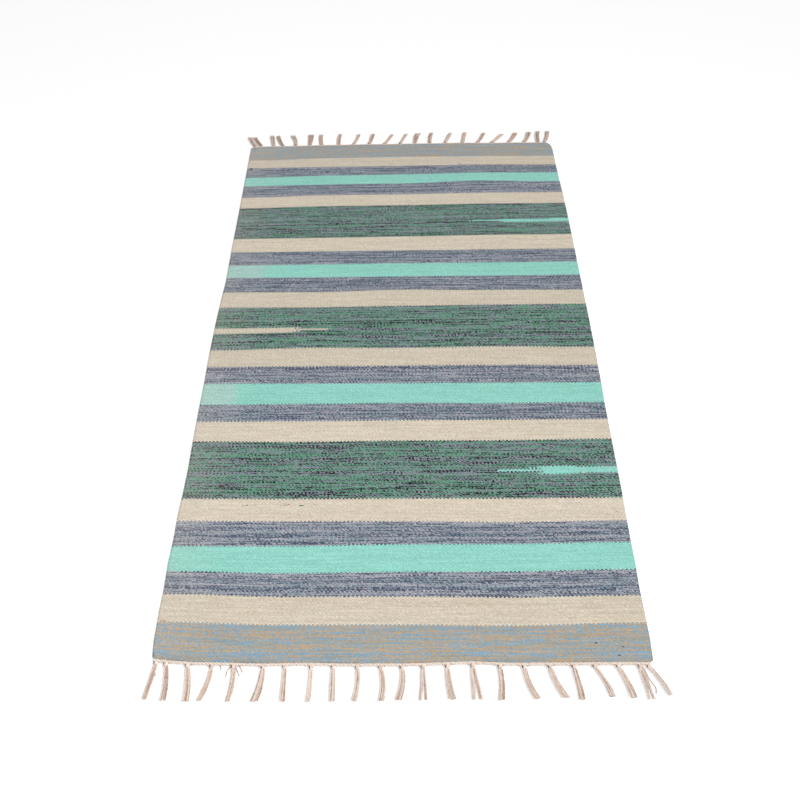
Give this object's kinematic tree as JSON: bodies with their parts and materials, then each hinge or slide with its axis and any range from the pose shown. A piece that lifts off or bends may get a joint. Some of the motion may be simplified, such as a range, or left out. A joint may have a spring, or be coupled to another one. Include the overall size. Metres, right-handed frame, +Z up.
{
  "type": "kilim rug",
  "caption": "Flat-woven cotton kilim rug in cross stripes, laid flat, with knotted warp tassels along both ends.",
  "frame": {"origin": "middle of the cloth's flat underside, on the floor", "axes": "+X across the rug to the right, +Y along the rug to its far end, +Z up"},
  "size_m": [0.9385, 1.6235, 0.0054],
  "materials": {
    "cotton_weft": "weft-faced plain weave of soft plied cotton, in cross stripes of cream, mint, navy-grey, green and tan-blue",
    "cotton_warp": "undyed plied cotton yarn, matt, knotted in tassels"
  },
  "bodies": {
    "root": {"rug_cloth": "cotton_weft", "near_fringe": "cotton_warp", "far_fringe": "cotton_warp"}
  },
  "joints": []
}
